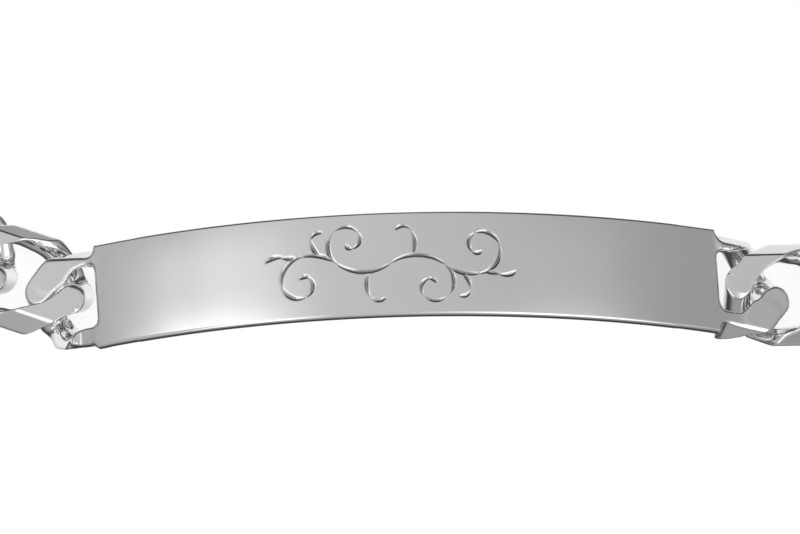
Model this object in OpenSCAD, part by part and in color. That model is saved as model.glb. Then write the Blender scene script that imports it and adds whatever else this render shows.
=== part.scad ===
// Identity bracelet: an arched plate with engraved scrolls, flat curb chain and a box clasp.
// It lies closed on a surface with the plate's face up.
// X runs along the plate, Y to the back and Z up, from the middle of what the loop covers.

/* [Plate] */
// Straight distance between the plate's two ends
plate_chord = 47.25; // [44:0.25:50]
// Width of the plate
plate_w = 8.2; // [7.6:0.1:8.6]
// Thickness of the plate
plate_t = 1.15; // [1:0.05:1.3]
// Radius of the plate's outer face
plate_r = 49.5; // [46:0.5:56]
// Bevel along the plate's long edges
plate_bevel = 0.15; // [0.05:0.05:0.25]
// Angle by which the plate's ends are off square
end_skew = 3; // [0:0.5:4]

/* [Link] */
// Outer length of a link
link_l = 11; // [10.8:0.1:11.2]
// Width of the chain over its cut sides
chain_w = 8.1; // [8:0.1:8.2]
// Thickness of the chain over its cut faces
chain_t = 3; // [2.8:0.1:3.2]
// Width of the flat cut along the top and the bottom
flat_w = 5.6; // [5.2:0.1:6]
// Height of the upright side between the two bevels
side_h = 0.3; // [0.2:0.05:0.6]
// Distance from one link to the next
pitch = 6.2; // [6.1:0.05:6.3]
// Wire across the link
wire_w = 2.1; // [2:0.05:2.15]
// Wire through the link
wire_h = 2.25; // [2.1:0.05:2.3]
// Twist from a link's middle to each of its ends
twist = 68; // [64:1:70]
// How much the twist gathers at the ends, where an even twist has 1
twist_power = 1.3; // [1.2:0.05:1.4]
// Fullness of the oval, where an ellipse has 2
oval_power = 3.2; // [3:0.1:3.3]
// How far the wire reaches inwards where it bends from a link's side to its end
link_fill = 0.25; // [0:0.05:0.3]
// How far the wire of links and arms reaches outwards in those bends
outer_fill = 0.3; // [0:0.05:0.4]

/* [Chain] */
// Links left of the plate
left_links = 11; // [11:1:11]
// Links right of the plate
right_links = 12; // [12:1:12]
// Angle of the first left link to the plate's line
left_start = 22; // [21:1:23]
// Turn from link to link round the left side
left_turn = 20; // [19:0.5:20]
// Number of those turns on the left
left_turns = 6; // [6:1:6]
// Turn from link to link along the back, left half
left_back_turn = 9; // [8:0.5:9]
// Angle of the first right link to the plate's line
right_start = 1; // [0:1:3]
// Turn from link to link round the right side
right_turn = 20; // [19:0.5:20]
// Number of those turns on the right
right_turns = 7; // [7:1:7]
// Turn from link to link along the back, right half
right_back_turn = 8.5; // [8:0.5:9]
// Slope of the first link on each side, from the plate down to the surface
first_slope = 4; // [4:0.5:5]
// Play that lifts each first link clear of the surface
first_rise = 0.25; // [0.23:0.01:0.27]
// How far the first left link has slid to the back in its arm
left_slide = 0.8; // [0.3:0.05:0.9]

/* [Arm] */
// Slope of the plate's arms, less than that of its ends
arm_slope = 20; // [16:1:22]
// Turn of the left arm to the back
left_arm_yaw = 6; // [5:1:10]
// Turn of the right arm to the back, or to the front where it is negative
right_arm_yaw = -8; // [-8:1:0]
// How far a plate arm's half link stands out from the plate
arm_shift = 0.4; // [0.4:0.1:0.7]
// How far an arm's root is raised to the plate's face
arm_lift = 1; // [0.9:0.05:1.1]
// Width of the flat cut along a plate arm
arm_flat_w = 6.2; // [6:0.1:6.6]
// How far an arm's wire reaches inwards where it bends from the side to the end
arm_fill = 0.45; // [0:0.05:0.5]
// How deep an arm's root is set into the plate or the clasp
root_l = 0.6; // [0.5:0.1:1]

/* [Engraving] */
// Width of the engraved grooves on the plate's face
groove_w = 0.3; // [0.2:0.05:0.4]
// Depth of the engraved grooves
groove_depth = 0.15; // [0.1:0.05:0.2]
// Plain metal left between one graver's stroke and the next
stroke_gap = 0.2; // [0.2:0.05:0.4]
// How far left of the plate's middle the scrolls are
scroll_shift = 1.2; // [0:0.1:2]

/* [Hidden] */
left = -1;
right = 1;
link_sides = 16;
wire_sides = 6;
arc_sides = 180;
// Half a small angle, for the direction of the wire's centre line
probe = 0.5;
margin = 1;

// The scrolls on one half of the plate, as runs of arcs that turn left where the turn is positive.
// Each has its start, its heading there, how much of its root is left off, and each arc's radius
// and turn.
SCROLLS = [
    [[0, 0], 35, 0.1, [[3.4, -75], [1.7, -95], [1.2, -100], [0.8, -110], [0.45, -130]]],
    [[4.14, -0.18], -40, 0.9, [[3.2, 50], [1.9, 95], [1.3, 100], [0.9, 110], [0.5, 130]]],
    [[6.9, -0.85], 12, 0.9, [[2.6, -30], [1.3, 75]]],
    [[1.6, 0.6], 60, 0.4, [[2, 60], [0.7, 150]]],
    [[5.2, -0.72], -30, 0.7, [[1.6, -60], [0.6, -150]]]
];

// Half axes of a link's centre line, a little wide so that the sides are cut flat
side_cut = 0.55;
ring_a = link_l / 2 - wire_w / 2;
ring_b = chain_w / 2 - wire_w / 2 + side_cut;

// The plate's end: its slope, and how far the arm's middle plane lies under its face
end_angle = asin(plate_chord / 2 / plate_r);
face_step = 0.05;
arm_depth = chain_t / 2 + face_step;
arm_joint = arm_shift + pitch / 2;
first_joint_z = chain_t / 2 + pitch * sin(first_slope);
arm_z = first_joint_z + first_rise + arm_joint * sin(arm_slope);
arm_x = plate_chord / 2 - arm_depth * sin(arm_slope);
face_z = arm_z + arm_depth * cos(arm_slope);
axis_z = face_z - plate_r * cos(end_angle);

function unit(v) = v / norm(v);
function signed_power(v, power) = sign(v) * pow(abs(v), power);

// Centre line of a link at the angle t: an oval that lies flat in the middle and turns at its ends
function oval(t) = [
    ring_a * signed_power(cos(t), 2 / oval_power),
    ring_b * signed_power(sin(t), 2 / oval_power)
];
function twist_at(t) = -twist * signed_power(oval(t)[0] / ring_a, twist_power);
function link_point(t) = let (p = oval(t), turn = twist_at(t))
    [p[0], p[1] * cos(turn), p[1] * sin(turn)];

// The same line for half a link, moved out, with its roots raised by lift
function arm_point(t, shift, lift) = let (p = link_point(t))
    p + [shift, 0, lift * pow(1 - p[0] / ring_a, 2)];

// How much of the fill a section has at the angle t: none at a link's ends and its sides
function fill_at(t) = pow(sin(2 * t), 2);

// One section of the wire at a point, with its direction, the link's turn there and its fills
function section(here, along, turn, inner, outer) = let (
    side = unit(cross(along, [0, -sin(turn), cos(turn)])),
    rise = cross(side, along)
) [for (q = [0:wire_sides - 1]) let (
    across = cos(360 * q / wire_sides),
    up = sin(360 * q / wire_sides),
    reach = wire_w / 2 + (across < 0 ? inner : outer)
) here + side * reach * across + rise * wire_h / 2 * up];

function link_sections() = [for (k = [0:link_sides - 1]) let (t = 360 * k / link_sides)
    section(link_point(t), unit(link_point(t + probe) - link_point(t - probe)), twist_at(t),
        link_fill * fill_at(t), outer_fill * fill_at(t))];

function arm_sections(shift, lift) = let (
    half = link_sides / 4,
    front = arm_point(-90, shift, lift),
    back = arm_point(90, shift, lift),
    sink = [shift + root_l, 0, face_step]
) concat(
    [section(front - sink, [1, 0, 0], 0, 0, 0)],
    [for (k = [-half:half]) let (
        t = 360 * k / link_sides,
        ahead = min(t + probe, 90),
        behind = max(t - probe, -90)
    ) section(arm_point(t, shift, lift),
        unit(arm_point(ahead, shift, lift) - arm_point(behind, shift, lift)), twist_at(t),
        arm_fill * fill_at(t), outer_fill * fill_at(t))],
    [section(back - sink, [-1, 0, 0], 0, 0, 0)]
);

// Where the chain runs: the joints, the direction of each link and how it slopes
function links_on(side) = side == left ? left_links : right_links;
function heading(side, k) = side == left
    ? left_start + left_turn * min(k, left_turns) + left_back_turn * max(0, k - left_turns)
    : right_start + right_turn * min(k, right_turns) + right_back_turn * max(0, k - right_turns);
function slope(k) = k == 0 ? first_slope : 0;
function direction(side, k) = let (h = heading(side, k), s = slope(k))
    [side * cos(h) * cos(s), sin(h) * cos(s), -sin(s)];
function arm_yaw(side) = side == left ? left_arm_yaw : right_arm_yaw;
function slide(side) = side == left ? left_slide : 0;
function joint(side, k) = k == 0
    ? [
        side * (arm_x + arm_joint * cos(arm_slope) * cos(arm_yaw(side))),
        arm_joint * cos(arm_slope) * sin(arm_yaw(side)) + slide(side),
        first_joint_z
    ]
    : joint(side, k - 1) + pitch * direction(side, k - 1);
function link_centre(side, k) = joint(side, k) + direction(side, k) * pitch / 2
    + [0, 0, k == 0 ? first_rise : 0];
function yaw(side, k) = side == left ? 180 - heading(side, k) : heading(side, k);

// The clasp fills what is left between the last two joints
clasp_from = joint(right, right_links);
clasp_to = joint(left, left_links);
clasp_span = norm(clasp_to - clasp_from);
clasp_yaw = atan2(clasp_to[1] - clasp_from[1], clasp_to[0] - clasp_from[0]);
clasp_l = clasp_span - pitch;

// How far a link reaches from its centre along a direction at the angle a to its length
reach_power = oval_power / (oval_power - 1);
function reach(a) = pow(
    pow(link_l / 2 * abs(cos(a)), reach_power) + pow(chain_w / 2 * abs(sin(a)), reach_power),
    1 / reach_power
);
function far_x(side) = max([for (k = [0:links_on(side) - 1])
    side * link_centre(side, k)[0] + reach(yaw(side, k))]);
function far_y(side) = max([for (k = [0:links_on(side) - 1])
    link_centre(side, k)[1] + reach(90 - yaw(side, k))]);
mid_x = (far_x(right) - far_x(left)) / 2;
mid_y = (max(far_y(left), far_y(right)) - plate_w / 2) / 2;

// A solid through sections that all have the same number of points
module tube(sections, closed) {
    n = len(sections);
    m = len(sections[0]);
    spans = closed ? n : n - 1;
    sides = [for (i = [0:spans - 1], j = [0:m - 1]) let (
        here = i * m,
        next = (i + 1) % n * m,
        j2 = (j + 1) % m
    ) each [
        [here + j, here + j2, next + j],
        [here + j2, next + j2, next + j]
    ]];
    first_cap = [for (j = [0:m - 1]) m - 1 - j];
    last_cap = [for (j = [0:m - 1]) (n - 1) * m + j];
    points = [for (s = sections, p = s) p];
    polyhedron(points, closed ? sides : concat(sides, [first_cap, last_cap]), convexity = 4);
}

// The bar that the faces are cut to, along X from x0 to x1, with its flats this wide
module cut_bar(x0, x1, flats) {
    flat = flats / 2;
    side = chain_w / 2;
    top = chain_t / 2;
    low = side_h / 2;
    translate([x0, 0, 0])
        rotate([90, 0, 90])
            linear_extrude(x1 - x0)
                polygon([
                    [flat, top], [-flat, top], [-side, low], [-side, -low],
                    [-flat, -top], [flat, -top], [side, -low], [side, low]
                ]);
}

// One flat curb link, lying along X
module curb_link() {
    intersection() {
        tube(link_sections(), true);
        cut_bar(-link_l, link_l, flat_w);
    }
}

// Half a link that grows out of a plate or clasp end at X = 0
module arm(shift, lift, flats) {
    intersection() {
        tube(arm_sections(shift, lift), false);
        cut_bar(-root_l - margin, link_l + shift, flats);
    }
}

module on_surface() {
    translate([-mid_x, -mid_y, 0])
        children();
}

module place_link(side, k) {
    on_surface()
        translate(link_centre(side, k))
            rotate([0, slope(k), yaw(side, k)])
                children();
}

// The frame on the face at one end of the plate, X outwards along its slope
module at_plate_end(side) {
    translate([side * plate_chord / 2, 0, face_z])
        rotate([0, end_angle, side == left ? 180 : 0])
            children();
}

module plate_arm(side) {
    translate([side * arm_x, 0, arm_z])
        rotate([0, arm_slope, side == left ? 180 - left_arm_yaw : right_arm_yaw])
            arm(arm_shift, arm_lift, arm_flat_w);
}

// The arched strip, a little longer than the plate
module strip() {
    spread = end_angle + 2;
    inner = plate_r - plate_t;
    edge = plate_w / 2;
    translate([0, 0, axis_z])
        rotate([90, 0, 0])
            rotate([0, 0, 90 - spread])
                rotate_extrude(angle = 2 * spread, $fn = arc_sides)
                    polygon([
                        [inner, -edge], [plate_r - plate_bevel, -edge], [plate_r, plate_bevel - edge],
                        [plate_r, edge - plate_bevel], [plate_r - plate_bevel, edge], [inner, edge]
                    ]);
}

// One stroke of the graver on the plate's face: an arc that is laid on the face at its middle, and
// starts this much late
module stroke(from, heading, radius, turn, late) {
    side = sign(turn);
    centre = from + side * radius * [-sin(heading), cos(heading)];
    middle = heading + turn / 2;
    at = (centre - side * radius * [-sin(middle), cos(middle)])[0] - scroll_shift;
    off_start = late / radius * 180 / PI;
    off_end = stroke_gap / 2 / radius * 180 / PI;
    first = side > 0 ? heading - 90 + off_start : heading + turn + 90 + off_end;
    wide = groove_w / 2 * (1 + face_step / groove_depth);
    translate([0, 0, axis_z])
        rotate([0, at / plate_r * 180 / PI, 0])
            translate([centre[0] - scroll_shift - at, centre[1], plate_r])
                rotate([0, 0, first])
                    rotate_extrude(angle = abs(turn) - off_start - off_end, $fn = arc_sides)
                        polygon([
                            [radius, -groove_depth], [radius + wide, face_step], [radius - wide, face_step]
                        ]);
}

// The strokes of a scroll, one arc after another
module strokes(from, heading, late, arcs, k = 0) {
    if (k < len(arcs)) {
        radius = arcs[k][0];
        turn = arcs[k][1];
        step = sign(turn) * radius;
        stroke(from, heading, radius, turn, k == 0 ? late : stroke_gap / 2);
        strokes(
            from + step * [sin(heading + turn) - sin(heading), cos(heading) - cos(heading + turn)],
            heading + turn, late, arcs, k + 1
        );
    }
}

// The same scrolls on both halves, turned half round
module scrolls() {
    for (scroll = SCROLLS) {
        strokes(scroll[0], scroll[1], scroll[2], scroll[3]);
        strokes(-scroll[0], scroll[1] + 180, scroll[2], scroll[3]);
    }
}

module end_cut() {
    rotate([0, 0, end_skew])
        translate([0, -plate_w, -plate_w])
            cube([plate_w, 2 * plate_w, 2 * plate_w]);
}

module id_plate() {
    color("silver")
        on_surface() {
            difference() {
                strip();
                at_plate_end(left) end_cut();
                at_plate_end(right) end_cut();
                scrolls();
            }
            plate_arm(left);
            plate_arm(right);
        }
}

module side_link(side, k) {
    color("lightgrey")
        place_link(side, k)
            curb_link();
}

module clasp() {
    color("silver")
        on_surface()
            translate((clasp_from + clasp_to) / 2)
                rotate([0, 0, clasp_yaw]) {
                    cut_bar(-clasp_l / 2, clasp_l / 2, flat_w);
                    translate([clasp_l / 2, 0, 0]) arm(0, 0, flat_w);
                    rotate([0, 0, 180]) translate([clasp_l / 2, 0, 0]) arm(0, 0, flat_w);
                }
}

id_plate();
for (k = [1:left_links])
    side_link(left, k - 1);
for (k = [1:right_links])
    side_link(right, k - 1);
clasp();
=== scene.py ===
"""Looks of the engraved identity bracelet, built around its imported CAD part."""

import math

import bpy
import numpy as np
from mathutils import Matrix, Vector


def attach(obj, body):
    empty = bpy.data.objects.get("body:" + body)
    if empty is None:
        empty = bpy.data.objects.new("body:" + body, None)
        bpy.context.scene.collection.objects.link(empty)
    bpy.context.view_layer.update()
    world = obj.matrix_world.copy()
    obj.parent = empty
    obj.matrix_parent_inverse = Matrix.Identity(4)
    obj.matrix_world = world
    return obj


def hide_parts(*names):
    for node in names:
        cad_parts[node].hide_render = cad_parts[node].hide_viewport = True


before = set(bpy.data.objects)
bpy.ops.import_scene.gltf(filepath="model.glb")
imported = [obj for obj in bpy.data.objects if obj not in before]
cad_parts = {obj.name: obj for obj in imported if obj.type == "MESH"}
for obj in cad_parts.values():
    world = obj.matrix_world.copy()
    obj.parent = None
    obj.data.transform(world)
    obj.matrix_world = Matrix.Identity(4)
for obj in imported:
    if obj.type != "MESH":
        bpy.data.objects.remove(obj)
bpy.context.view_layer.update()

MM = 0.001

# Driving sizes of the part in millimetres and degrees, the same as in its source. A value for each
# side of the plate has -1 for the left and 1 for the right.
PLATE_CHORD, PLATE_W, PLATE_T, PLATE_R, END_SKEW = 47.25, 8.2, 1.15, 49.5, 3
LINK_L, CHAIN_W, CHAIN_T, FLAT_W, SIDE_H = 11, 8.1, 3, 5.6, 0.3
PITCH, WIRE_W, WIRE_H, SIDE_CUT = 6.2, 2.1, 2.25, 0.55
TWIST, TWIST_POWER, OVAL_POWER = 68, 1.3, 3.2
LINK_FILL, ARM_FILL, OUTER_FILL = 0.25, 0.45, 0.3
# The chain on each side: its links, the first one's angle, the turn from link to link, how many turns
# there are of it, the turn along the back, how far the first link has slid, and its slope and rise
LINKS = {-1: 11, 1: 12}
START = {-1: 22, 1: 1}
TURN = {-1: 20, 1: 20}
TURNS = {-1: 6, 1: 7}
BACK_TURN = {-1: 9, 1: 8.5}
SLIDE = {-1: 0.8, 1: 0}
FIRST_SLOPE, FIRST_RISE = 4, 0.25
# The plate's arms
ARM_YAW = {-1: 6, 1: -8}
ARM_SLOPE, ARM_SHIFT, ARM_LIFT, ROOT_L, FACE_STEP = 20, 0.4, 1, 0.6, 0.05

# How far left of the plate's middle the scrolls are
SCROLL_SHIFT = 1.2
# The scrolls on one half of the plate, as runs of arcs that turn left where the turn is positive.
# Each has its start, its heading there, the length over which its root widens, and each arc's radius
# and turn.
SCROLLS = [
    [(0, 0), 35, 0, [(3.4, -75), (1.7, -95), (1.2, -100), (0.8, -110), (0.45, -130)]],
    [(4.14, -0.18), -40, 0.8, [(3.2, 50), (1.9, 95), (1.3, 100), (0.9, 110), (0.5, 130)]],
    [(6.9, -0.85), 12, 0.8, [(2.6, -30), (1.3, 75)]],
    [(1.6, 0.6), 60, 0.4, [(2, 60), (0.7, 150)]],
    [(5.2, -0.72), -30, 0.6, [(1.6, -60), (0.6, -150)]],
]

# Fine shapes of the plate: its crown, its rounded edges, the fillets at its ends, and the chamfer
# below its long edges
CROWN, CROWN_POWER = 0.08, 3.5
EDGE_ROUND, CUT_ROUND, UNDER_ROUND, END_FILLET = 0.22, 0.1, 0.2, 0.9
UNDER_CUT, UNDER_LEAN = 0.35, 0.7

# Grooves: width in a stroke's middle and at its ends, slope of the walls, rounding of their edges, the
# length over which a stroke's tip narrows, and how far along the plate the scrolls reach
GROOVE_W, HAIR_W, GROOVE_WALL, GROOVE_ROUND, TIP_L, SCROLL_REACH = 0.36, 0.13, 34, 0.03, 0.7, 10.8

# Fine shapes of the plate's two arms, each in its arm's frame
# Width of the flat on top
ARM_FLAT_W = {-1: 6.1, 1: 6.2}
# How far out the front root has almost no bevel
NO_ROOT_FLAT = -9
ROOT_FLAT = {-1: 2, 1: NO_ROOT_FLAT}
# How much further out the face starts on the front root, and how far that root's side steps in
SHORT_ROOT, ROOT_STEP = {-1: 1.75, 1: 0}, 0.25
# Width of the thin web inside the front root
WEB = {-1: 0, 1: 0.45}
# X, Y and radius of the round metal that fills the outer bend, and its depth, edge and blend
LOBE = {-1: (3.8, -1.85, 1.05), 1: (3.9, -2.1, 1.0)}
LOBE_DEPTH, LOBE_EDGE, LOBE_BLEND = 0.9, 0.5, 1.0

RING_A = LINK_L / 2 - WIRE_W / 2
RING_B = CHAIN_W / 2 - WIRE_W / 2 + SIDE_CUT
END_ANGLE = math.asin(PLATE_CHORD / 2 / PLATE_R)
END_RUN = PLATE_R * END_ANGLE
ARM_DEPTH = CHAIN_T / 2 + FACE_STEP
ARM_JOINT = ARM_SHIFT + PITCH / 2


def sin(degrees):
    return math.sin(math.radians(degrees))


def cos(degrees):
    return math.cos(math.radians(degrees))


FIRST_JOINT_Z = CHAIN_T / 2 + PITCH * sin(FIRST_SLOPE)
ARM_Z = FIRST_JOINT_Z + FIRST_RISE + ARM_JOINT * sin(ARM_SLOPE)
ARM_X = PLATE_CHORD / 2 - ARM_DEPTH * sin(ARM_SLOPE)
FACE_Z = ARM_Z + ARM_DEPTH * cos(ARM_SLOPE)
AXIS_Z = FACE_Z - PLATE_R * math.cos(END_ANGLE)


# Where the chain runs

def heading(side, k):
    bent = TURN[side] * min(k, TURNS[side]) + BACK_TURN[side] * max(0, k - TURNS[side])
    return START[side] + bent


def slope(k):
    return FIRST_SLOPE if k == 0 else 0


def direction(side, k):
    h, s = heading(side, k), slope(k)
    return np.array([side * cos(h) * cos(s), sin(h) * cos(s), -sin(s)])


def joint(side, k):
    if k == 0:
        out = ARM_JOINT * cos(ARM_SLOPE)
        return np.array([
            side * (ARM_X + out * cos(ARM_YAW[side])),
            out * sin(ARM_YAW[side]) + SLIDE[side],
            FIRST_JOINT_Z,
        ])
    return joint(side, k - 1) + PITCH * direction(side, k - 1)


def link_centre(side, k):
    rise = FIRST_RISE if k == 0 else 0
    return joint(side, k) + direction(side, k) * PITCH / 2 + np.array([0, 0, rise])


def yaw(side, k):
    return 180 - heading(side, k) if side < 0 else heading(side, k)


def reach(angle):
    """How far a link reaches from its centre at this angle to its length."""
    power = OVAL_POWER / (OVAL_POWER - 1)
    along = (LINK_L / 2 * abs(cos(angle))) ** power
    across = (CHAIN_W / 2 * abs(sin(angle))) ** power
    return (along + across) ** (1 / power)


def far(side, axis):
    """How far the links of one side reach outwards (axis 0) or to the back (axis 1)."""
    sign = side if axis == 0 else 1
    return max(
        sign * link_centre(side, k)[axis] + reach(yaw(side, k) - 90 * axis)
        for k in range(LINKS[side])
    )


# The middle of what the loop covers, which is the frame's origin
MID = np.array([
    (far(1, 0) - far(-1, 0)) / 2,
    (max(far(-1, 1), far(1, 1)) - PLATE_W / 2) / 2,
    0,
])
# The clasp fills what is left between the last two joints
CLASP_FROM = joint(1, LINKS[1])
CLASP_TO = joint(-1, LINKS[-1])
CLASP_L = np.linalg.norm(CLASP_TO - CLASP_FROM) - PITCH
CLASP_YAW = math.degrees(math.atan2(*(CLASP_TO - CLASP_FROM)[1::-1]))


def turned(about_y, about_z):
    """The rotation about Y and then about Z, in degrees."""
    turn_y = np.array([[cos(about_y), 0, sin(about_y)], [0, 1, 0], [-sin(about_y), 0, cos(about_y)]])
    turn_z = np.array([[cos(about_z), -sin(about_z), 0], [sin(about_z), cos(about_z), 0], [0, 0, 1]])
    return turn_z @ turn_y


# Meshes and fields

def unit(v):
    return v / np.linalg.norm(v, axis=-1, keepdims=True)


def soft_max(a, b, k):
    """The larger of two distances, rounded where they meet."""
    blend = np.maximum(k - np.abs(a - b), 0) / k
    return np.maximum(a, b) + blend * blend * k / 4


def soft_min(a, b, k):
    """The smaller of two distances, rounded where they meet."""
    return -soft_max(-a, -b, k)


def smooth_step(x):
    x = np.clip(x, 0, 1)
    return x * x * (3 - 2 * x)


def signed_power(v, power):
    return np.sign(v) * np.abs(v) ** power


def twist_at(x):
    """How far a link is turned at x along it, in radians."""
    return -np.radians(TWIST) * signed_power(x / RING_A, TWIST_POWER)


def oval_line(t):
    """Centre line of a link at the angles t, in radians."""
    x = RING_A * signed_power(np.cos(t), 2 / OVAL_POWER)
    w = RING_B * signed_power(np.sin(t), 2 / OVAL_POWER)
    f = twist_at(x)
    return np.stack([x, w * np.cos(f), w * np.sin(f)], -1)


def even(points, count, closed):
    """The same line with its points evenly spaced."""
    if closed:
        points = np.vstack([points, points[:1]])
    run = np.concatenate([[0], np.cumsum(np.linalg.norm(np.diff(points, axis=0), axis=1))])
    at = np.linspace(0, run[-1], count + 1)[:-1] if closed else np.linspace(0, run[-1], count)
    return np.stack([np.interp(at, run, points[:, i]) for i in range(3)], -1)


def wire_frames(points, turns, closed):
    """Direction, side and rise of the wire at each point of its centre line."""
    if closed:
        along = unit(np.roll(points, -1, 0) - np.roll(points, 1, 0))
    else:
        along = unit(np.gradient(points, axis=0))
    up = np.stack([0 * turns, -np.sin(turns), np.cos(turns)], -1)
    side = unit(np.cross(along, up))
    return along, side, np.cross(side, along)


def bar_distance(y, z, flats, k, with_top=True):
    """Distance to the bar that the chain's faces are cut to; without its top where asked."""
    y, high = np.abs(y), np.abs(z)
    rise, run = (CHAIN_T - SIDE_H) / 2, (CHAIN_W - flats) / 2
    size = np.hypot(rise, run)
    bevel = ((y - flats / 2) * rise + (high - CHAIN_T / 2) * run) / size
    cut = soft_max(bevel, y - CHAIN_W / 2, k)
    return soft_max(cut, (high if with_top else -z) - CHAIN_T / 2, k)


def fill_at(x):
    """Share of the fill at x along half a link: none at its end and its sides."""
    share = np.clip(np.abs(x) / RING_A, 0, 1) ** OVAL_POWER
    return 4 * share * (1 - share)


def wire_distance(n, b, fill, outer):
    """Distance to the wire's oval section from n across and b through it, filled on both sides."""
    half_w = WIRE_W / 2 + np.where(n < 0, fill, outer)
    ratio = np.sqrt((n / half_w) ** 2 + (b / (WIRE_H / 2)) ** 2)
    return (ratio - 1) * np.sqrt(n * n + b * b + 1e-9) / (ratio + 1e-6)


def make_object(name, points, faces, material):
    """A mesh piece from points in millimetres, in the row frame."""
    points = np.asarray(points, float)
    faces = np.asarray(faces)
    a, b, c = points[faces[:, 0]], points[faces[:, 1]], points[faces[:, 2]]
    d = points[faces[:, 3]]
    volume = (np.cross(a, b) * c).sum() + (np.cross(a, c) * d).sum()
    inside_out = volume < 0
    if inside_out:
        faces = faces[:, ::-1]
    mesh = bpy.data.meshes.new(name)
    mesh.from_pydata((points * MM).tolist(), [], faces.tolist())
    mesh.validate()
    mesh.shade_smooth()
    mesh.materials.append(material)
    piece = bpy.data.objects.new(name, mesh)
    bpy.context.scene.collection.objects.link(piece)
    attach(piece, "root")
    return piece


# One curb link, from sections that are each an oval cut by the bar's faces

LINK_SECTIONS, LINK_SIDES = 168, 72
FACET_ROUND = 0.14
# Points of the fine centre line, the grid that finds a section's middle, its rays, and their halvings
LINE_POINTS, MIDDLE_GRID, RAYS, HALVINGS = 4000, 49, 640, 26


def cut_sections(points, side, rise, share, flats, sides):
    """Closed outlines of the cut wire in the plane of each section, with their points crowded at corners.

    Each outline is found along rays from a point well inside it, by halving the distance."""
    fills = LINK_FILL * share[:, None], OUTER_FILL * share[:, None]

    def distance(offset_n, offset_b):
        here = (
            points[:, None]
            + offset_n[..., None] * side[:, None]
            + offset_b[..., None] * rise[:, None]
        )
        bar = bar_distance(here[..., 1], here[..., 2], flats, FACET_ROUND)
        return soft_max(wire_distance(offset_n, offset_b, *fills), bar, FACET_ROUND), here

    count = len(points)
    grid = np.linspace(-1, 1, MIDDLE_GRID)
    n, b = np.meshgrid(grid * (WIRE_W / 2 + LINK_FILL), grid * WIRE_H / 2)
    n = np.tile(n.ravel(), (count, 1))
    b = np.tile(b.ravel(), (count, 1))
    weight = np.maximum(-distance(n, b)[0], 0) ** 2
    middle_n = (n * weight).sum(1) / weight.sum(1)
    middle_b = (b * weight).sum(1) / weight.sum(1)

    angles = np.linspace(0, 2 * np.pi, RAYS, endpoint=False)
    low = np.zeros((count, len(angles)))
    high = low + 2 * WIRE_H
    for _ in range(HALVINGS):
        half = (low + high) / 2
        value, here = distance(
            middle_n[:, None] + half * np.cos(angles), middle_b[:, None] + half * np.sin(angles)
        )
        low = np.where(value < 0, half, low)
        high = np.where(value < 0, high, half)

    outlines = []
    for line in here:
        step = np.roll(line, -1, 0) - line
        size = np.linalg.norm(step, axis=1)
        way = step / size[:, None]
        bend = np.arccos(np.clip((way * np.roll(way, 1, 0)).sum(1), -1, 1))
        bend = (bend + np.roll(bend, -1)) / 2
        share = size / size.sum() + bend / bend.sum()
        run = np.concatenate([[0], np.cumsum(share)])
        at = np.linspace(0, run[-1], sides, endpoint=False)
        closed = np.vstack([line, line[:1]])
        outlines.append(np.stack([np.interp(at, run, closed[:, i]) for i in range(3)], -1))
    return np.array(outlines)


def ring_faces(rows, sides):
    """Four-sided faces between outlines that close in a ring."""
    i, j = np.meshgrid(np.arange(rows), np.arange(sides), indexing="ij")
    i2, j2 = (i + 1) % rows, (j + 1) % sides
    return np.stack([i * sides + j, i2 * sides + j, i2 * sides + j2, i * sides + j2], -1).reshape(-1, 4)


def curb_link():
    fine_line = oval_line(np.linspace(0, 2 * np.pi, LINE_POINTS, endpoint=False))
    line = even(fine_line, LINK_SECTIONS, True)
    _, side, rise = wire_frames(line, twist_at(line[:, 0]), True)
    outlines = cut_sections(line, side, rise, fill_at(line[:, 0]), FLAT_W, LINK_SIDES)
    return outlines.reshape(-1, 3), ring_faces(LINK_SECTIONS, LINK_SIDES)


# Pieces with arms: a field is sampled on a grid, and its surface found and sharpened

def surface_net(values, axes):
    """Points and four-sided faces where the values on a grid change sign."""
    inside = values < 0
    corners = [(i, j, k) for i in (0, 1) for j in (0, 1) for k in (0, 1)]
    size = np.array(values.shape) - 1
    total = sum(
        inside[i:size[0] + i, j:size[1] + j, k:size[2] + k].astype(np.int8) for i, j, k in corners
    )
    active = (total > 0) & (total < 8)
    cells = np.argwhere(active)
    number = np.full(active.shape, -1)
    number[active] = np.arange(len(cells))
    summed = np.zeros((len(cells), 3))
    count = np.zeros(len(cells))
    for corner in corners:
        for axis in range(3):
            if corner[axis]:
                continue
            a = cells + np.array(corner)
            b = a.copy()
            b[:, axis] += 1
            value_a, value_b = values[tuple(a.T)], values[tuple(b.T)]
            cross = (value_a < 0) != (value_b < 0)
            share = value_a[cross] / (value_a[cross] - value_b[cross])
            for i in range(3):
                from_a, from_b = axes[i][a[cross, i]], axes[i][b[cross, i]]
                summed[cross, i] += from_a + (from_b - from_a) * share
            count[cross] += 1
    points = summed / count[:, None]
    faces = []
    for axis in range(3):
        u, v = (axis + 1) % 3, (axis + 2) % 3
        here = [slice(1, -1)] * 3
        here[axis] = slice(0, -1)
        there = list(here)
        there[axis] = slice(1, None)
        change = inside[tuple(here)] != inside[tuple(there)]
        at = np.argwhere(change)
        at[:, u] += 1
        at[:, v] += 1
        quad = []
        for du, dv in ((-1, -1), (0, -1), (0, 0), (-1, 0)):
            cell = at.copy()
            cell[:, u] += du
            cell[:, v] += dv
            quad.append(number[tuple(cell.T)])
        quad = np.stack(quad, -1)
        outward = inside[tuple(at.T)]
        faces.append(np.where(outward[:, None], quad, quad[:, ::-1]))
    return points, np.vstack(faces)


# The distance at which a slope is measured, the flattest slope allowed, and how often points move
PROBE, FLATTEST, ROUNDS = 0.004, 0.2, 3


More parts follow.
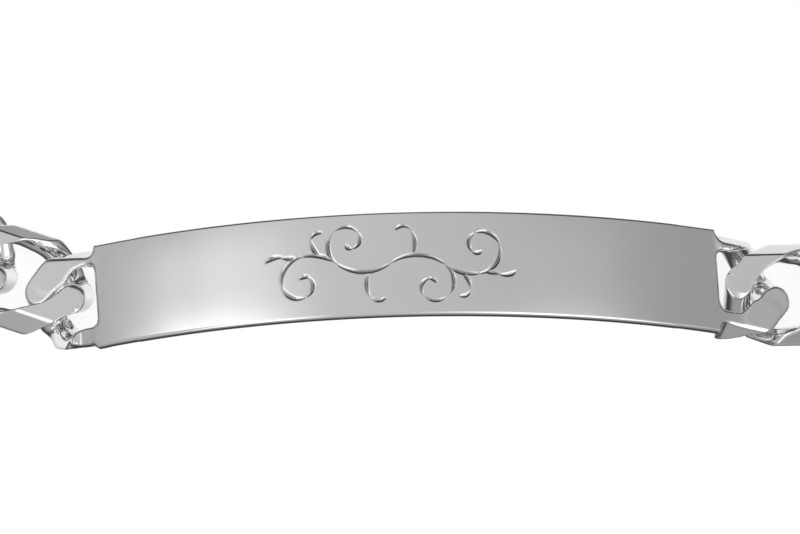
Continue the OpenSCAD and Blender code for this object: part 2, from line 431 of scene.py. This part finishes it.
def sharpen(points, field, limit):
    """Points moved onto the field's exact surface, each by no more than the limit."""
    start = points.copy()
    for _ in range(ROUNDS):
        value = field(points)
        slopes = np.stack([
            (field(points + PROBE * axis) - field(points - PROBE * axis)) / (2 * PROBE)
            for axis in np.eye(3)
        ], -1)
        size = np.maximum((slopes ** 2).sum(1), FLATTEST)
        points = points - slopes * (value / size)[:, None]
        points = start + np.clip(points - start, -limit, limit)
    return points


# Points of an arm's line, how many places are measured at once, where the web ends and over what
# length it fades, and the length and the share of the wider flat at a root
ARM_POINTS, BATCH = 150, 40000
WEB_END, WEB_RUN = 3.2, 2.2
ROOT_FLAT_RUN, ROOT_FLAT_SHARE = 0.4, 0.9


class Arm:
    """Half a link that grows out of a plate or clasp end, in its own frame with X outwards."""

    def __init__(self, origin, turn, shift, lift, flats, root_flat=NO_ROOT_FLAT, web=0, lobe=None):
        self.origin, self.turn = np.asarray(origin, float), turn
        self.flats, self.root_flat, self.lobe = flats, root_flat, lobe
        line = oval_line(np.linspace(-np.pi / 2, np.pi / 2, LINE_POINTS // 2))
        line[:, 2] += lift * (1 - line[:, 0] / RING_A) ** 2
        line[:, 0] += shift
        sink = np.array([shift + ROOT_L, 0, FACE_STEP])
        line = np.vstack([line[:1] - sink, line, line[-1:] - sink])
        self.line = even(line, ARM_POINTS, False)
        turns = twist_at(np.maximum(self.line[:, 0] - shift, 0))
        self.along, self.side, self.rise = wire_frames(self.line, turns, False)
        share = fill_at(np.maximum(self.line[:, 0] - shift, 0))
        web_share = smooth_step((WEB_END - self.line[:, 0]) / WEB_RUN) * (self.line[:, 1] < 0)
        self.fill = np.maximum(ARM_FILL * share, web * web_share)
        self.outer = OUTER_FILL * share
        self.step = np.linalg.norm(self.line[1] - self.line[0])

    def local(self, points):
        """Points of the piece in the arm's own frame."""
        return (points - self.origin) @ self.turn

    def wire(self, points):
        """Distance to the arm's bent wire, before its faces are cut, a batch of points at a time."""
        result = np.empty(len(points))
        for first in range(0, len(points), BATCH):
            part = points[first:first + BATCH]
            square = (
                (part ** 2).sum(1)[:, None] - 2 * part @ self.line.T + (self.line ** 2).sum(1)
            )
            near = square.argmin(1)
            off = part - self.line[near]
            ahead = np.clip((off * self.along[near]).sum(1) / self.step, -1, 1)
            other = np.clip(near + np.sign(ahead).astype(int), 0, len(self.line) - 1)
            share = np.abs(ahead)[:, None]
            centre = self.line[near] * (1 - share) + self.line[other] * share
            side = self.side[near] * (1 - share) + self.side[other] * share
            rise = self.rise[near] * (1 - share) + self.rise[other] * share
            off = part - centre
            fills = self.fill[near], self.outer[near]
            wire = wire_distance((off * side).sum(1), (off * rise).sum(1), *fills)
            past = np.abs((off * self.along[near]).sum(1)) - self.step
            result[first:first + BATCH] = np.maximum(wire, past)
        return result

    def distance(self, points, k, with_top=True):
        """Distance to the arm from points in its own frame."""
        x, y, z = points.T
        result = self.wire(points)
        if self.lobe:
            lobe_x, lobe_y, radius = self.lobe
            lobe = np.hypot(x - lobe_x, y - lobe_y) - radius
            lobe = soft_max(lobe, CHAIN_T / 2 - LOBE_DEPTH - z, LOBE_EDGE)
            result = soft_min(result, lobe, LOBE_BLEND)
        root = smooth_step((self.root_flat - x) / ROOT_FLAT_RUN) * (y > 0)
        flats = self.flats + (CHAIN_W - self.flats) * ROOT_FLAT_SHARE * root
        return soft_max(result, bar_distance(y, z, flats, k, with_top), k)


def plate_arms():
    return {
        side: Arm(
            [side * ARM_X, 0, ARM_Z],
            turned(ARM_SLOPE, 180 - ARM_YAW[side] if side < 0 else ARM_YAW[side]),
            ARM_SHIFT, ARM_LIFT, ARM_FLAT_W[side], ROOT_FLAT[side], WEB[side], LOBE[side],
        )
        for side in (-1, 1)
    }


def strokes():
    """Each stroke of the scrolls: centre, radius, first angle, turn, side, and how it fades in and out."""
    rows = []
    for start, first_heading, root, arcs in SCROLLS:
        for half in (1, -1):
            at = half * np.array(start, float)
            angle = first_heading + (0 if half > 0 else 180)
            for k, (radius, turn) in enumerate(arcs):
                side = math.copysign(1, turn)
                centre = at + side * radius * np.array([-sin(angle), cos(angle)])
                fade_in = root if k == 0 else 0
                fade_out = TIP_L if k == len(arcs) - 1 else 0
                rows.append((centre, radius, angle - 90 * side, abs(turn), side, fade_in, fade_out))
                angle += turn
                at = centre - side * radius * np.array([-sin(angle), cos(angle)])
    return rows


# How quickly a stroke swells from its fine ends, where a plain sine has 1
SWELL_POWER = 1.2


def groove_distance(s, y, depth):
    """Distance to the engraved grooves, each wide in its middle and fine at its ends."""
    result = np.full(len(s), 1.0)
    for centre, radius, first, turn, side, fade_in, fade_out in strokes():
        x_off, y_off = s + SCROLL_SHIFT - centre[0], y - centre[1]
        angle = ((np.degrees(np.arctan2(y_off, x_off)) - first) * side) % 360
        share = angle / turn
        on = share < 1
        share = np.clip(share, 0, 1)
        length = math.radians(turn) * radius
        wide = HAIR_W + (GROOVE_W - HAIR_W) * np.sin(np.pi * share) ** SWELL_POWER
        if fade_in:
            wide = wide * smooth_step(share * length / fade_in)
        if fade_out:
            wide = wide * smooth_step((1 - share) * length / fade_out)
        across = np.abs(np.hypot(x_off, y_off) - radius)
        wall = (across - wide / 2) * sin(GROOVE_WALL) + depth * cos(GROOVE_WALL)
        result = np.where(on, np.minimum(result, wall), result)
    return result


def on_plate(points):
    """Points along the plate's arch, across it and above its face, before the crown lowers it."""
    x, y, z = points.T
    return PLATE_R * np.arctan2(x, z - AXIS_Z), y, np.hypot(x, z - AXIS_Z) - PLATE_R


def crown_drop(y):
    """How far the crown lowers the plate's face at y across it."""
    return CROWN * (np.abs(y) / (PLATE_W / 2)) ** CROWN_POWER


def end_planes():
    """A point on each end of the plate and the direction out of it."""
    planes = []
    for side in (-1, 1):
        turn = turned(math.degrees(END_ANGLE), 180 if side < 0 else 0)
        out = turn @ np.array([cos(END_SKEW), sin(END_SKEW), 0])
        planes.append((np.array([side * PLATE_CHORD / 2, 0, FACE_Z]), out))
    return planes


# Where an arm starts to count, from the plate's end inwards
ARM_ZONE = 3.5
# How fast the plate's underside and its chamfer let an arm go lower, outwards from the plate's end
LOW_FALL, CHAMFER_FALL = 1.4, 1.6
# The side of a short root: how much it leans in, how far below the face, and its step's length
STEP_LEAN, STEP_TOP, STEP_RUN = 0.5, 0.7, 0.8
# How the plate's face passes into an arm's face: from where, over what length, and how rounded
LEVEL_FROM, LEVEL_RUN, LEVEL_ROUND = 0.5, 0.8, 0.25
# How near the plate's face the grooves are looked for
FACE_ZONE = 0.6


def plate_field():
    """The distance field of the plate with its arms and its engraving."""
    arms = plate_arms()
    ends = end_planes()

    def field(points):
        s, y, height = on_plate(points)
        body = np.abs(y) - PLATE_W / 2
        body = soft_max(body, -height - PLATE_T, UNDER_ROUND)
        chamfer = (np.abs(y) - PLATE_W / 2 - height - PLATE_T + UNDER_CUT) * UNDER_LEAN
        body = soft_max(body, chamfer, CUT_ROUND)
        for at, out in ends:
            body = soft_max(body, (points - at) @ out, CUT_ROUND)
        top = height + crown_drop(y)
        for side, arm in arms.items():
            near = side * s > END_RUN - ARM_ZONE
            if not near.any():
                continue
            local = arm.local(points[near])
            out = side * s[near] - END_RUN
            wire = arm.distance(local, CUT_ROUND, with_top=False)
            edge = np.abs(y[near]) - PLATE_W / 2 - np.maximum(out, 0)
            low = -height[near] - PLATE_T - LOW_FALL * np.maximum(out, 0)
            low = soft_max(low, chamfer[near] - CHAMFER_FALL * np.maximum(out, 0), UNDER_ROUND)
            wire = soft_max(wire, low, UNDER_ROUND)
            if SHORT_ROOT[side]:
                under = local[:, 1] - PLATE_W / 2 - STEP_LEAN * np.minimum(height[near] + STEP_TOP, 0)
                under = under + ROOT_STEP * smooth_step(out / STEP_RUN + 0.5)
                wire = soft_max(wire, under, CUT_ROUND)
            joined = soft_min(body[near], wire, END_FILLET)
            body[near] = soft_max(soft_max(joined, low, CUT_ROUND), edge, CUT_ROUND)
            late = SHORT_ROOT[side] * (local[:, 1] > 0)
            share = smooth_step((out + LEVEL_FROM - late) / LEVEL_RUN)
            level = soft_min(top[near], local[:, 2] - CHAIN_T / 2, LEVEL_ROUND)
            top[near] = top[near] * (1 - share) + level * share
        result = soft_max(body, top, EDGE_ROUND)
        near = (np.abs(s + SCROLL_SHIFT) < SCROLL_REACH) & (np.abs(height) < FACE_ZONE)
        if near.any():
            groove = groove_distance(s[near], y[near], -height[near])
            result[near] = soft_max(result[near], -groove, GROOVE_ROUND)
        return result

    return field


def steps(*parts):
    """Grid positions from parts of first, last and step."""
    runs = [np.linspace(a, b, max(2, round((b - a) / step) + 1)) for a, b, step in parts]
    return np.unique(np.round(np.concatenate(runs), 6))


# Steps of the plate's grid at its ends, on its plain parts and on the scrolls, and across it
END_GRID, PLAIN_GRID, SCROLL_GRID, ACROSS_GRID = 0.115, 0.35, 0.085, 0.095
ARM_REACH, END_ZONE, GRID_HALF_W = 8.6, 2, 4.2
SCROLLS_FROM, SCROLLS_TO = -12, 9.6


def name_plate():
    """Points and faces of the plate with its arms, from a grid that follows the arch."""
    reach_out = END_RUN + ARM_REACH
    s_axis = steps(
        (-reach_out, END_ZONE - END_RUN, END_GRID), (END_ZONE - END_RUN, SCROLLS_FROM, PLAIN_GRID),
        (SCROLLS_FROM, SCROLLS_TO, SCROLL_GRID),
        (SCROLLS_TO, END_RUN - END_ZONE, PLAIN_GRID), (END_RUN - END_ZONE, reach_out, END_GRID),
    )
    y_axis = steps((-GRID_HALF_W, GRID_HALF_W, ACROSS_GRID))
    d_axis = steps((-2.3, -0.09, 0.13), (-0.09, 0.33, 0.06), (0.33, 1.05, 0.12), (1.05, 4.2, 0.13))
    s, y, d = np.meshgrid(s_axis, y_axis, d_axis, indexing="ij")

    def place(s, y, d):
        """Points in space from places along the arch, across it and below its face."""
        return np.stack([
            (PLATE_R - d) * np.sin(s / PLATE_R), y, AXIS_Z + (PLATE_R - d) * np.cos(s / PLATE_R)
        ], -1)

    field = plate_field()
    values = field(place(s, y, d).reshape(-1, 3)).reshape(s.shape)
    points, faces = surface_net(values, (s_axis, y_axis, d_axis))
    points = sharpen(place(*points.T), field, 0.09)
    return points, faces


# Where the painted shade in the grooves may reach across the plate, the depth below the face where it
# starts, and the depth over which it grows to full
SCROLL_HALF_W, MARK_START, MARK_RUN = 3.6, 0.01, 0.05


def engraved(points):
    """How deep each point of the plate's face lies in a groove, from 0 to 1: the mask for the painted
    shade in the grooves.
    """
    s, y, height = on_plate(points)
    top = height + crown_drop(y)
    face = (np.abs(top) < FACE_ZONE / 2) & (np.abs(y) < SCROLL_HALF_W)
    face = face & (np.abs(s + SCROLL_SHIFT) < SCROLL_REACH)
    return np.where(face, np.clip((-top - MARK_START) / MARK_RUN, 0, 1), 0)


# The clasp's seam and tab: their places as shares of its length, the seam's radius and depth, and half
# the length, the radius and the depth of the slot and of the tab in it
SEAM_AT, TAB_AT = 0.24, 0.36
SEAM_R, SEAM_DEPTH, SEAM_LEAN = 0.11, 0.4, 0.6
SLOT_L, SLOT_R, SLOT_DEPTH, SLOT_ROUND = 1.3, 0.75, 0.45, 0.08
TAB_L, TAB_R, TAB_SINK, TAB_ROUND = 1.2, 0.5, 0.05, 0.15
CLASP_ROUND, CLASP_FILLET, CLASP_ARM_ZONE = 0.16, 0.2, 8


def clasp_field():
    """The distance field of the clasp: a bar with a seam, a push tab and an arm at each end."""
    arms = [
        Arm([side * CLASP_L / 2, 0, 0], turned(0, 0 if side > 0 else 180), 0, 0, FLAT_W)
        for side in (1, -1)
    ]
    seam_x = CLASP_L * SEAM_AT
    tab_x = CLASP_L * TAB_AT

    def field(points):
        x, y, z = points.T
        body = bar_distance(y, z, FLAT_W, CLASP_ROUND)
        body = soft_max(body, np.abs(x) - CLASP_L / 2, CLASP_ROUND)
        seam = np.hypot(x - seam_x, np.maximum(body, -SEAM_DEPTH) * SEAM_LEAN) - SEAM_R
        body = soft_max(body, -seam, 0.05)
        slot = np.hypot(np.maximum(np.abs(y) - SLOT_L, 0), x - tab_x) - SLOT_R
        slot = soft_max(slot, CHAIN_T / 2 - SLOT_DEPTH - z, 0.1)
        body = soft_max(body, -slot, SLOT_ROUND)
        tab = np.hypot(np.maximum(np.abs(y) - TAB_L, 0), x - tab_x) - TAB_R
        tab = soft_max(tab, z - CHAIN_T / 2 + TAB_SINK, TAB_ROUND)
        body = np.minimum(body, np.maximum(tab, -z))
        for arm in arms:
            near = np.abs(x - arm.origin[0]) < CLASP_ARM_ZONE
            if near.any():
                wire = arm.distance(arm.local(points[near]), 0.12)
                body[near] = soft_min(body[near], wire, CLASP_FILLET)
        return body

    return field


# Steps of the clasp's grid at its arms, on its plain part and on the seam and the tab, and across it
CLASP_END_GRID, CLASP_PLAIN_GRID, TAB_GRID, CLASP_ACROSS_GRID = 0.11, 0.4, 0.09, 0.1
TAB_PART_FROM, CLASP_MARGIN = 2.4, 1.4
CLASP_GRID_HALF_W, CLASP_GRID_HALF_H = 4.1, 1.65


def clasp():
    """Points and faces of the clasp in its place."""
    half = CLASP_L / 2
    far_x = half + RING_A + CLASP_MARGIN
    x_axis = steps(
        (-far_x, 1 - half, CLASP_END_GRID), (1 - half, TAB_PART_FROM, CLASP_PLAIN_GRID),
        (TAB_PART_FROM, half, TAB_GRID), (half, far_x, CLASP_END_GRID),
    )
    y_axis = steps((-CLASP_GRID_HALF_W, CLASP_GRID_HALF_W, CLASP_ACROSS_GRID))
    z_axis = steps((-CLASP_GRID_HALF_H, CLASP_GRID_HALF_H, CLASP_ACROSS_GRID))
    x, y, z = np.meshgrid(x_axis, y_axis, z_axis, indexing="ij")
    field = clasp_field()
    values = field(np.stack([x, y, z], -1).reshape(-1, 3)).reshape(x.shape)
    points, faces = surface_net(values, (x_axis, y_axis, z_axis))
    points = sharpen(points, field, 0.1)
    middle = (CLASP_FROM + CLASP_TO) / 2
    return points @ turned(0, CLASP_YAW).T + middle, faces


# Materials

SCRATCH_DEPTH = 0.000004
CLOUD_SHADE = 0.95


def nodes_of(tree):
    """Helpers for an emptied node tree: one adds a node, one links sockets, one adds a Math node."""
    tree.nodes.clear()

    def add(kind, **values):
        node = tree.nodes.new(kind)
        for key, value in values.items():
            setattr(node, key, value)
        return node

    def wire(out, into):
        tree.links.new(out, into)

    def maths(operation, a, b=None):
        node = add("ShaderNodeMath", operation=operation)
        for socket, value in zip(node.inputs, (a, b)):
            if value is None:
                continue
            if isinstance(value, (int, float)):
                socket.default_value = value
            else:
                wire(value, socket)
        return node.outputs[0]

    return add, wire, maths


def silver(name, colour, roughness, scratch, groove_shade_colour=None):
    """Polished silver with fine wear scratches and a little cloudiness, with painted shade that darkens
    its engraved grooves.
    """
    material = bpy.data.materials.new(name)
    material.use_nodes = True
    add, wire, maths = nodes_of(material.node_tree)
    out = add("ShaderNodeOutputMaterial")
    shader = add("ShaderNodeBsdfPrincipled")
    shader.inputs["Metallic"].default_value = 1
    wire(shader.outputs[0], out.inputs[0])
    coordinates = add("ShaderNodeTexCoord")

    def noise(scale, detail, stretch, turn):
        mapping = add("ShaderNodeMapping")
        mapping.inputs["Scale"].default_value = stretch
        mapping.inputs["Rotation"].default_value = (0, 0, math.radians(turn))
        wire(coordinates.outputs["Object"], mapping.inputs[0])
        texture = add("ShaderNodeTexNoise")
        texture.inputs["Scale"].default_value = scale
        texture.inputs["Detail"].default_value = detail
        wire(mapping.outputs[0], texture.inputs["Vector"])
        return texture.outputs[0]

    cloud = noise(scale=260, detail=3, stretch=(1, 1, 1), turn=0)
    fine = noise(scale=900, detail=2, stretch=(1, 14, 1), turn=18)
    cross = noise(scale=900, detail=2, stretch=(12, 1, 1), turn=-24)
    streaks = maths("MAXIMUM", fine, cross)

    tone = add("ShaderNodeMixRGB")
    tone.inputs[1].default_value = (*[c * CLOUD_SHADE for c in colour], 1)
    tone.inputs[2].default_value = (*colour, 1)
    wire(cloud, tone.inputs[0])
    # Painted shade: the base colour is darkened towards the groove colour where the groove attribute marks
    # the engraving
    if groove_shade_colour:
        groove = add("ShaderNodeAttribute", attribute_name="groove")
        groove_shaded = add("ShaderNodeMixRGB")
        groove_shaded.inputs[2].default_value = (*groove_shade_colour, 1)
        wire(groove.outputs["Fac"], groove_shaded.inputs[0])
        wire(tone.outputs[0], groove_shaded.inputs[1])
        wire(groove_shaded.outputs[0], shader.inputs["Base Color"])
    else:
        wire(tone.outputs[0], shader.inputs["Base Color"])

    rough = add("ShaderNodeMapRange")
    rough.inputs["From Min"].default_value = 0.4
    rough.inputs["From Max"].default_value = 0.8
    rough.inputs["To Min"].default_value = roughness
    rough.inputs["To Max"].default_value = roughness * 2
    wire(streaks, rough.inputs[0])
    wire(rough.outputs[0], shader.inputs["Roughness"])

    bump = add("ShaderNodeBump")
    bump.inputs["Strength"].default_value = scratch
    bump.inputs["Distance"].default_value = SCRATCH_DEPTH
    wire(streaks, bump.inputs["Height"])
    wire(bump.outputs[0], shader.inputs["Normal"])
    return material


# The last colour is painted shade, the darker colour given to the engraved grooves
BODY_COLOUR, CHAIN_COLOUR, GROOVE_SHADE_COLOUR = (0.935, 0.927, 0.94), (0.955, 0.947, 0.96), (0.42, 0.41, 0.43)

plate_silver = silver("plate_silver", BODY_COLOUR, 0.07, 0.35, GROOVE_SHADE_COLOUR)
chain_silver = silver("chain_silver", CHAIN_COLOUR, 0.06, 0.25)
clasp_silver = silver("clasp_silver", BODY_COLOUR, 0.07, 0.35)


# The bracelet

points, faces = name_plate()
plate = make_object("engraved_plate", points - MID, faces, plate_silver)
# The groove attribute carries the painted shade in the engraved grooves
groove = plate.data.attributes.new("groove", "FLOAT", "POINT")
groove.data.foreach_set("value", engraved(points).astype(np.float32))
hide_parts("id_plate")

link_points, link_faces = curb_link()
for side, word in ((-1, "left"), (1, "right")):
    for k in range(LINKS[side]):
        turn = turned(slope(k), yaw(side, k))
        points = link_points @ turn.T + link_centre(side, k) - MID
        link = make_object(f"{word}_curb_{k + 1}", points, link_faces, chain_silver)
        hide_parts(f"{word}_link_{k + 1}")

points, faces = clasp()
box_clasp = make_object("box_clasp", points - MID, faces, clasp_silver)
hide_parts("clasp")


# Floor, light and camera

FLOOR_HALF = 9


def pale_floor():
    """A wide pale sheet that glows a little, so that it stays even."""
    mesh = bpy.data.meshes.new("floor")
    corners = [(x * FLOOR_HALF, y * FLOOR_HALF, 0) for x, y in ((-1, -1), (1, -1), (1, 1), (-1, 1))]
    mesh.from_pydata(corners, [], [(0, 1, 2, 3)])
    floor = bpy.data.objects.new("floor", mesh)
    bpy.context.scene.collection.objects.link(floor)
    material = bpy.data.materials.new("floor_paper")
    material.use_nodes = True
    shader = material.node_tree.nodes["Principled BSDF"]
    shader.inputs["Base Color"].default_value = (0.6, 0.6, 0.6, 1)
    shader.inputs["Roughness"].default_value = 0.9
    shader.inputs["Specular IOR Level"].default_value = 0.0
    shader.inputs["Emission Color"].default_value = (1, 1, 1, 1)
    shader.inputs["Emission Strength"].default_value = 0.75
    mesh.materials.append(material)
    floor.visible_glossy = False


STUDIO_STRENGTH, BACK_LEVEL, SHADED_LEVEL = 1.07, 0.07, 0.32


def studio():
    """A tent round the metal, with a level for each direction that it is seen in.

    It is soft grey overhead with two bright patches, white in front, and dark low at the back. Under
    the horizon it is dark in front and pale behind."""
    world = bpy.data.worlds.new("studio")
    bpy.context.scene.world = world
    world.use_nodes = True
    add, wire, maths = nodes_of(world.node_tree)
    out = add("ShaderNodeOutputWorld")
    background = add("ShaderNodeBackground")
    wire(background.outputs[0], out.inputs[0])
    coordinates = add("ShaderNodeTexCoord")
    split = add("ShaderNodeSeparateXYZ")
    wire(coordinates.outputs["Generated"], split.inputs[0])
    x, y, z = split.outputs

    def ramp(value, low, high, stops, smooth=False):
        """A level that changes with a value, from pairs of value and level."""
        node = add("ShaderNodeValToRGB")
        node.color_ramp.interpolation = "CARDINAL" if smooth else "LINEAR"
        elements = node.color_ramp.elements
        while len(elements) < len(stops):
            elements.new(0.5)
        for element, (at, level) in zip(elements, stops):
            element.position = (at - low) / (high - low)
            element.color = (level, level, level, 1)
        wire(maths("DIVIDE", maths("SUBTRACT", value, low), high - low), node.inputs[0])
        return node.outputs[0]

    def times(a, b):
        return maths("MULTIPLY", a, b)

    def mixed(a, b, share):
        """a where the share is 0, and b where it is 1."""
        return maths("ADD", times(a, maths("SUBTRACT", 1.0, share)), times(b, share))

    overhead = ramp(x, -1, 1, [
        (-1, 0.34), (-0.87, 0.36), (-0.8, 0.42), (-0.7, 0.45), (-0.6, 0.475), (-0.55, 0.54),
        (-0.41, 0.575), (-0.33, 0.56), (-0.245, 0.535), (-0.1, 0.52), (0.2, 0.475), (0.43, 0.42),
        (0.58, 0.37), (0.65, 0.345), (0.71, 0.325), (1, 0.3),
    ], smooth=True)

    def patch(profile, y_centre, y_width, level):
        """A bright patch overhead, with its profile along x."""
        off = maths("DIVIDE", maths("SUBTRACT", y, y_centre), y_width)
        fade = maths("EXPONENT", times(-0.5, times(off, off)))
        return times(times(ramp(x, -1, 1, profile, smooth=True), fade), level)

    left_patch = [
        (-1, 0), (-0.82, 0), (-0.763, 0.18), (-0.702, 0.56), (-0.637, 1.04), (-0.57, 1.08),
        (-0.49, 0.88), (-0.41, 0.56), (-0.33, 0.22), (-0.25, 0.05), (-0.15, 0), (1, 0),
    ]
    right_patch = [(-1, 0), (0.15, 0), (0.3, 0.3), (0.48, 1), (0.56, 0.85), (0.63, 0.35), (0.7, 0.1),
                   (0.8, 0), (1, 0)]
    left = patch(left_patch, y_centre=0.14, y_width=0.1145, level=0.68)
    overhead = maths("ADD", overhead, left)
    right = patch(right_patch, y_centre=0.14, y_width=0.1, level=0.2)
    overhead = maths("ADD", overhead, right)

    front_level = ramp(x, -1, 1, [
        (-1, 0.45), (-0.6, 0.45), (-0.5, 1.2), (-0.32, 1.2), (-0.22, 0.5), (0, 0.5), (0.12, 0.7),
        (0.3, 1.3), (0.6, 1.2), (0.645, 0.95), (0.69, 0.6), (0.75, 0.44), (1, 0.42),
    ])
    to_front = ramp(y, -0.4, 0.2, [(-0.4, 1), (-0.12, 1), (0.05, 0), (0.2, 0)])
    upper = mixed(overhead, front_level, to_front)

    low_level = ramp(x, -1, 1, [(-1, 0.12), (-0.75, 0.25), (-0.45, 0.45), (0, 0.31), (0.5, 0.25),
                                (0.75, 0.15), (1, 0.1)])
    low = ramp(z, 0, 1, [(0, 1), (0.29, 1), (0.38, 0), (1, 0)])
    back = ramp(y, 0, 1, [(0, 0), (0.5, 0), (0.62, 1), (1, 1)])
    back_low = ramp(z, 0, 1, [(0, 1), (0.7, 1), (0.8, 0), (1, 0)])
    upper = mixed(upper, BACK_LEVEL, times(back, back_low))
    upper = mixed(upper, low_level, times(low, maths("SUBTRACT", 1.0, back)))

    under = ramp(y, -1, 1, [(-1, 0.33), (-0.8, 0.3), (-0.5, 0.06), (-0.2, 0.05), (0, 0.5),
                            (0.3, 0.85), (1, 0.78)])
    dark_x = ramp(x, -1, 1, [(-1, 0), (0.04, 0), (0.14, 1), (1, 1)])
    dark_z = ramp(z, -1, 0, [(-1, 0), (-0.43, 0), (-0.39, 1), (0, 1)])
    dark_y = ramp(y, 0, 1, [(0, 0), (0.5, 0), (0.7, 1), (1, 1)])
    under = mixed(under, SHADED_LEVEL, times(times(dark_x, dark_z), dark_y))
    below = ramp(z, -0.1, 0.1, [(-0.1, 1), (-0.01, 1), (0.01, 0), (0.1, 0)])
    level = mixed(upper, under, below)
    wire(level, background.inputs[0])
    background.inputs[1].default_value = STUDIO_STRENGTH


# The camera's angles and its distance in metres, and the photograph's size, scale and the pixel where
# the middle of the plate's face lies in it
CAMERA_ELEVATION, CAMERA_ROLL, CAMERA_DISTANCE, SENSOR_W = 71.5, 1.43, 1.2, 36
IMAGE = (800, 534)
PIXELS_PER_MM = 13.27
PLATE_PIXEL = (406.5, 262.5)


def camera():
    """Long lens, from in front and high above, with the plate's face centre at its pixel."""
    data = bpy.data.cameras.new("camera")
    view = bpy.data.objects.new("camera", data)
    bpy.context.scene.collection.objects.link(view)
    bpy.context.scene.camera = view
    data.sensor_width = SENSOR_W
    data.lens = data.sensor_width * CAMERA_DISTANCE / (IMAGE[0] / PIXELS_PER_MM * MM)
    data.clip_start, data.clip_end = 0.05, 50
    right = Vector((1, 0, 0))
    up = Vector((0, sin(CAMERA_ELEVATION), cos(CAMERA_ELEVATION)))
    right, up = (
        right * cos(CAMERA_ROLL) - up * sin(CAMERA_ROLL),
        up * cos(CAMERA_ROLL) + right * sin(CAMERA_ROLL),
    )
    back = right.cross(up)
    face = Vector((-MID[0], -MID[1], AXIS_Z + PLATE_R)) * MM
    off_x = (IMAGE[0] / 2 - PLATE_PIXEL[0]) / PIXELS_PER_MM * MM
    off_y = (PLATE_PIXEL[1] - IMAGE[1] / 2) / PIXELS_PER_MM * MM
    target = face + right * off_x + up * off_y
    turn = Matrix((right, up, back)).transposed().to_4x4()
    view.matrix_world = Matrix.Translation(target + back * CAMERA_DISTANCE) @ turn


pale_floor()
studio()
camera()
bpy.context.scene.view_settings.view_transform = "Standard"
